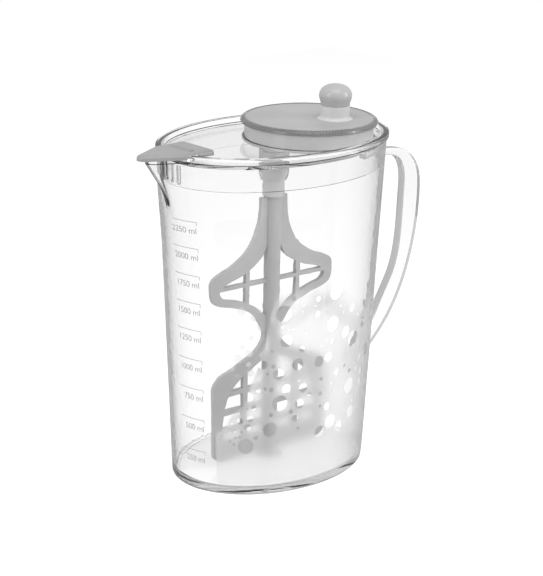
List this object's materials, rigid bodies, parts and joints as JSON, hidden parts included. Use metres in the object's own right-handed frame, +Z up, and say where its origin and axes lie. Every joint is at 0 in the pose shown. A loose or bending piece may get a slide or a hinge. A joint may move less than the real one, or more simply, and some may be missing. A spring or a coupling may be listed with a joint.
{
  "type": "baby formula mixing pitcher",
  "caption": "Clear oval pitcher with a loop handle, pouring lip and lid; a crank on the lid turns an open paddle inside through a gear pair, and a rocking flap covers the lip.",
  "frame": {"origin": "on the flat underside, at the centre of the oval, which is also the axis of the paddle", "axes": "+Z up along the paddle's axis, +X along the oval's long axis towards the handle, -X towards the spout, +Y across the oval"},
  "size_m": [0.2443, 0.119, 0.2541],
  "materials": {
    "clear_body": "clear, polished",
    "clear_lid": "clear, polished",
    "frosted_drum": "translucent",
    "frosted_tube": "translucent",
    "grey_crank": "satin grey",
    "grey_knob": "satin grey",
    "grey_paddle": "satin grey",
    "grey_flap": "satin grey",
    "white_gears": "moulded, slightly waxy",
    "seal_rubber": "soft",
    "bright_steel": "bright"
  },
  "bodies": {
    "jug": {"jug_body": "clear_body", "jug_handle": "clear_body"},
    "lid": {"lid_shell": "clear_lid", "gear_drum": "frosted_drum", "crank_bush": "white_gears", "drum_ring": "clear_lid", "drum_floor": "frosted_drum", "guide_tube": "frosted_tube", "hub_seal": "seal_rubber", "flap_pin": "bright_steel"},
    "crank": {"crank_disc": "grey_crank", "crank_rim": "clear_lid", "drive_gear": "white_gears", "gear_screws": "bright_steel", "knob_stem": "grey_knob"},
    "knob": {"knob_cap": "grey_knob", "knob_screw": "bright_steel"},
    "paddle": {"drive_pinion": "white_gears", "drive_shaft": "white_gears", "paddle_collar": "grey_paddle", "paddle_rod": "grey_paddle", "paddle_blade": "grey_paddle", "paddle_foot": "grey_paddle"},
    "flap": {"spout_flap": "grey_flap"}
  },
  "joints": [
    {"name": "lid_lift", "type": "slide", "parent": "jug", "child": "lid", "axis": [0, 0, 1], "range_m": [0, 0.23]},
    {"name": "crank_turn", "type": "hinge", "parent": "lid", "child": "crank", "pos_m": [0.03, 0, 0.2285], "axis": [0, 0, 1], "continuous": true},
    {"name": "knob_spin", "type": "hinge", "parent": "crank", "child": "knob", "pos_m": [0.04073, -0.01279, 0.2405], "axis": [0, 0, 1], "continuous": true},
    {"name": "paddle_turn", "type": "hinge", "parent": "lid", "child": "paddle", "pos_m": [0, 0, 0.22], "axis": [0, 0, 1], "continuous": true},
    {"name": "flap_tilt", "type": "hinge", "parent": "lid", "child": "flap", "pos_m": [-0.076, 0, 0.2228], "axis": [0, 1, 0], "range_deg": [0, 12]}
  ],
  "couplings": [
    {"joint": "paddle_turn", "follows": "crank_turn", "ratio": -3}
  ]
}
